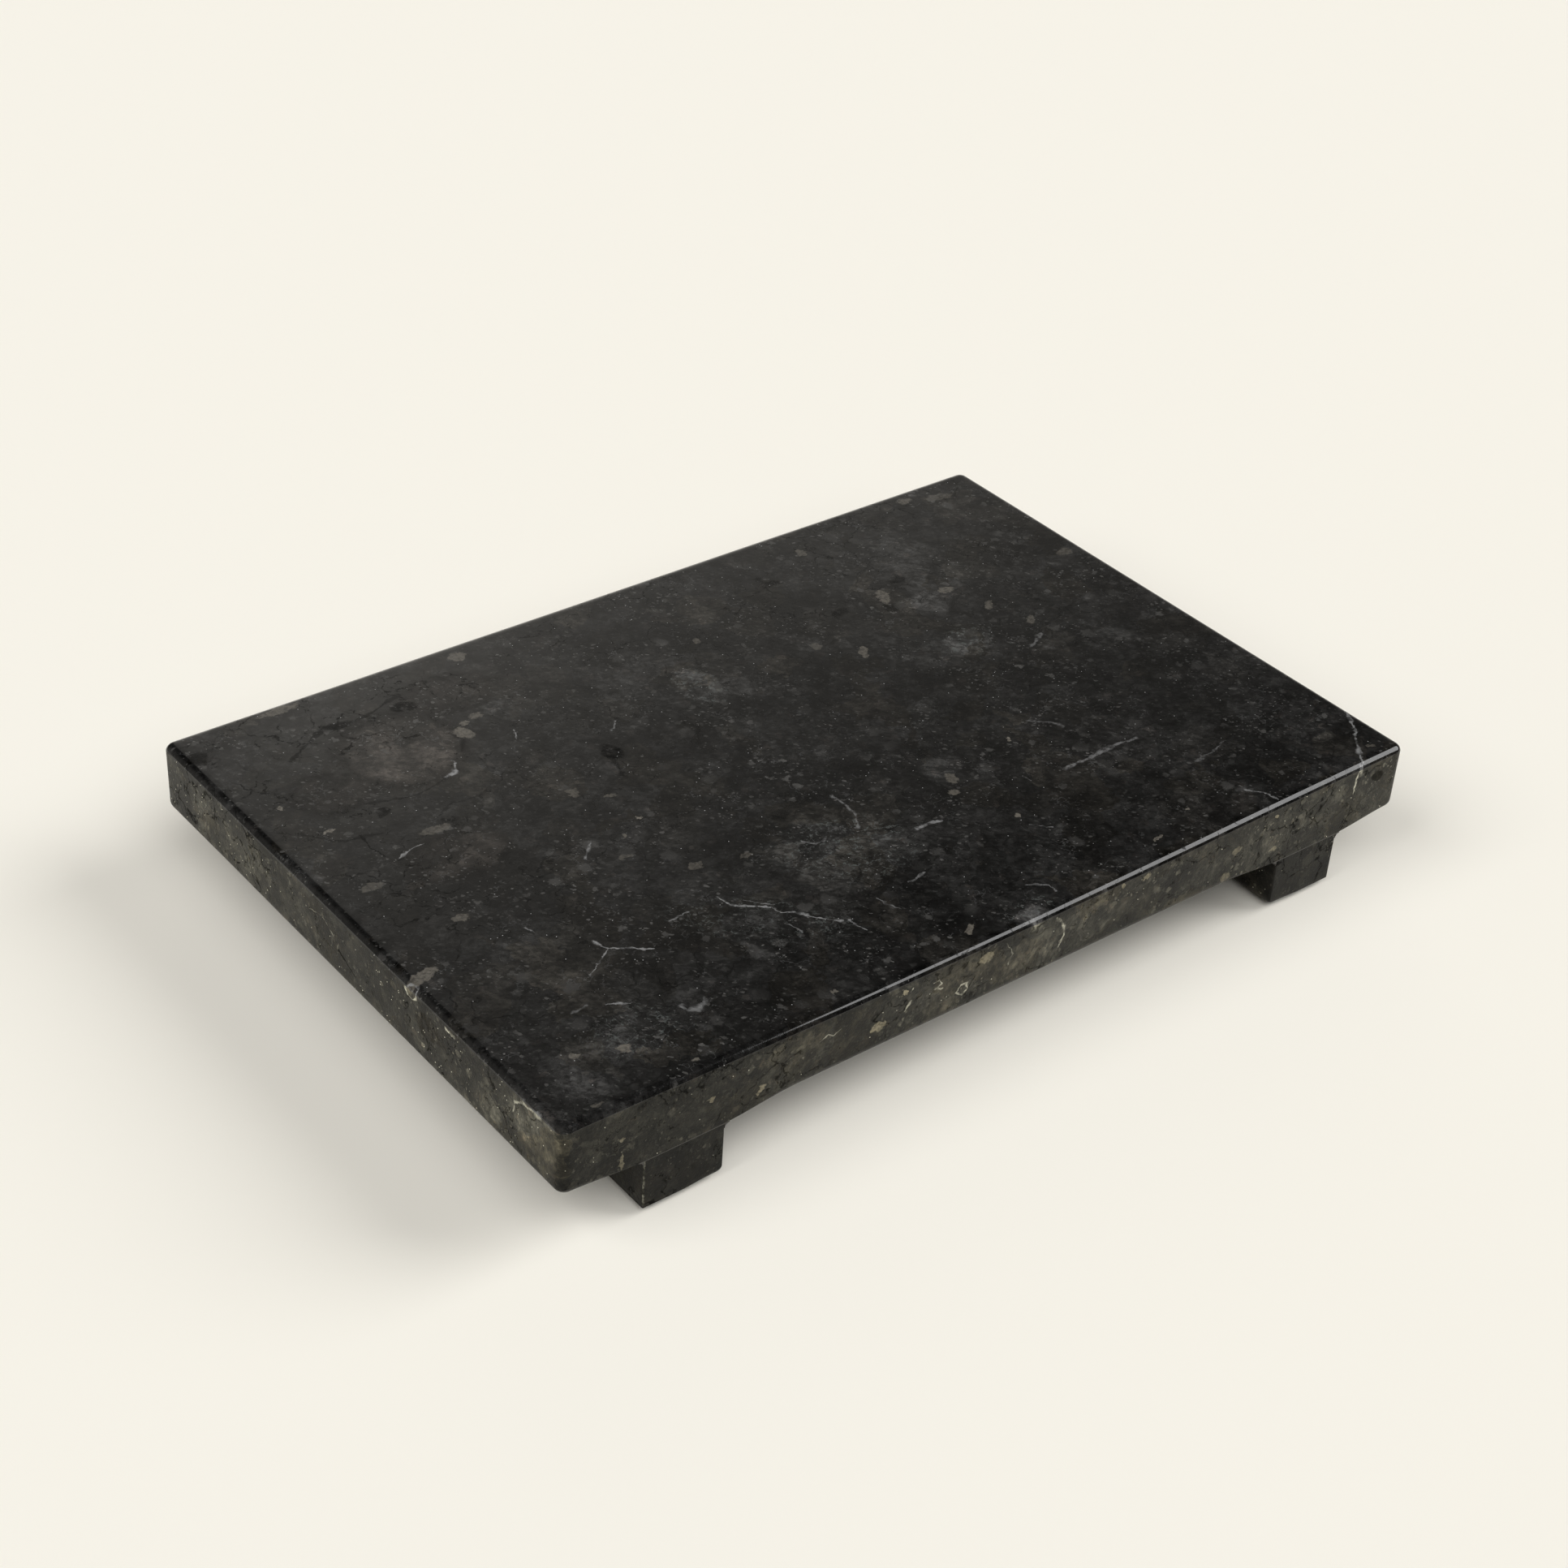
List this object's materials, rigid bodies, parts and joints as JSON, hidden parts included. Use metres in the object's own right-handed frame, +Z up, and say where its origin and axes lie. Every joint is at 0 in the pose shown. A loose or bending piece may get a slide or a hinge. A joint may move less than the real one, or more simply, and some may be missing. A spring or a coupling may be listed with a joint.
{
  "type": "footed stone tray",
  "caption": "Rectangular tray of dark polished fossil stone, standing on full-width stone runners, with a finger grip under each end.",
  "frame": {"origin": "middle of the plane that the pads stand on", "axes": "+X along the tray's length, +Y towards its back, +Z up"},
  "size_m": [0.3, 0.2, 0.0398],
  "materials": {
    "slab_stone": "polished",
    "runner_stone": "honed",
    "epoxy": "satin",
    "pad_rubber": "matte"
  },
  "bodies": {
    "root": {"slab": "slab_stone", "left_runner": "runner_stone", "right_runner": "runner_stone", "left_epoxy_bond": "epoxy", "right_epoxy_bond": "epoxy", "left_front_pad": "pad_rubber", "left_back_pad": "pad_rubber", "right_front_pad": "pad_rubber", "right_back_pad": "pad_rubber"}
  },
  "joints": []
}
